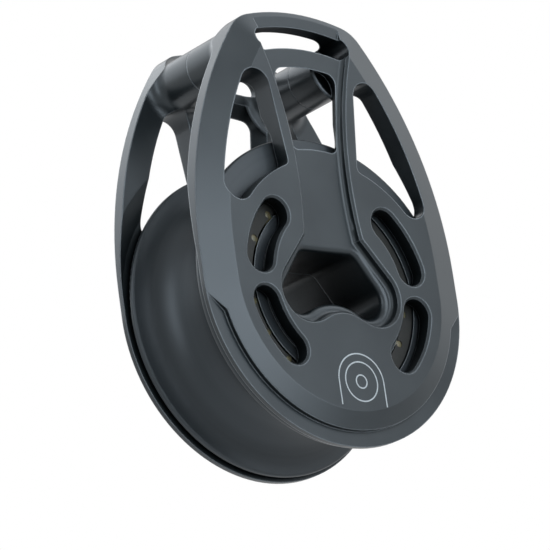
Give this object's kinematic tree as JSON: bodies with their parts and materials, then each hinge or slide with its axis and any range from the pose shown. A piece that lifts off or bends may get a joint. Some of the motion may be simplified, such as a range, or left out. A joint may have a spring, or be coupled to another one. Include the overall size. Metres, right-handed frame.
{
  "type": "loop block",
  "caption": "Single-sheave sailing block with two black milled cheeks, windowed head, hollow hub for a soft lashing, and a sheave on rollers and side balls.",
  "frame": {"origin": "middle of the sheave axis, inside the hub passage, halfway between the cheeks", "axes": "+Z from the sheave up to the head with the posts, +Y along the sheave axis from the front cheek to the rear one, +X to the side"},
  "size_m": [0.0582, 0.028, 0.0812],
  "materials": {
    "anodised_black": "satin black hard anodising",
    "sheave_black": "smooth black hard anodising",
    "race_metal": "turned, black anodised",
    "black_acetal": "matte black",
    "bearing_resin": "dark olive, slightly glossy",
    "stainless": "plain stainless"
  },
  "bodies": {
    "frame": {"front_cheek": "anodised_black", "rear_cheek": "anodised_black", "inner_race": "race_metal", "front_side_race": "race_metal", "rear_side_race": "race_metal", "head_screw_left": "stainless", "head_screw_right": "stainless", "hub_screw_left": "stainless", "hub_screw_right": "stainless"},
    "sheave": {"sheave": "sheave_black"},
    "roller_set": {"roller_01": "bearing_resin", "roller_02": "bearing_resin", "roller_03": "bearing_resin", "roller_04": "bearing_resin", "roller_05": "bearing_resin", "roller_06": "bearing_resin", "roller_07": "bearing_resin", "roller_08": "bearing_resin", "roller_09": "bearing_resin", "roller_10": "bearing_resin", "roller_11": "bearing_resin", "roller_12": "bearing_resin", "roller_13": "bearing_resin", "roller_14": "bearing_resin", "roller_15": "bearing_resin", "roller_16": "bearing_resin", "roller_17": "bearing_resin", "roller_18": "bearing_resin", "roller_19": "bearing_resin", "roller_20": "bearing_resin", "roller_21": "bearing_resin", "roller_22": "bearing_resin", "roller_23": "bearing_resin", "roller_24": "bearing_resin"},
    "front_ball_set": {"front_balls": "bearing_resin", "front_ball_cage": "black_acetal"},
    "rear_ball_set": {"rear_balls": "bearing_resin", "rear_ball_cage": "black_acetal"}
  },
  "joints": [
    {"name": "sheave_turn", "type": "hinge", "parent": "frame", "child": "sheave", "pos_m": [0, 0, 0], "axis": [0, 1, 0], "continuous": true},
    {"name": "rollers_turn", "type": "hinge", "parent": "frame", "child": "roller_set", "pos_m": [0, 0, 0], "axis": [0, 1, 0], "continuous": true},
    {"name": "front_balls_turn", "type": "hinge", "parent": "frame", "child": "front_ball_set", "pos_m": [0, 0, 0], "axis": [0, 1, 0], "continuous": true},
    {"name": "rear_balls_turn", "type": "hinge", "parent": "frame", "child": "rear_ball_set", "pos_m": [0, 0, 0], "axis": [0, 1, 0], "continuous": true}
  ],
  "couplings": [
    {"joint": "rollers_turn", "follows": "sheave_turn", "ratio": 0.55682},
    {"joint": "front_balls_turn", "follows": "sheave_turn", "ratio": 0.54064},
    {"joint": "rear_balls_turn", "follows": "sheave_turn", "ratio": 0.54064}
  ]
}
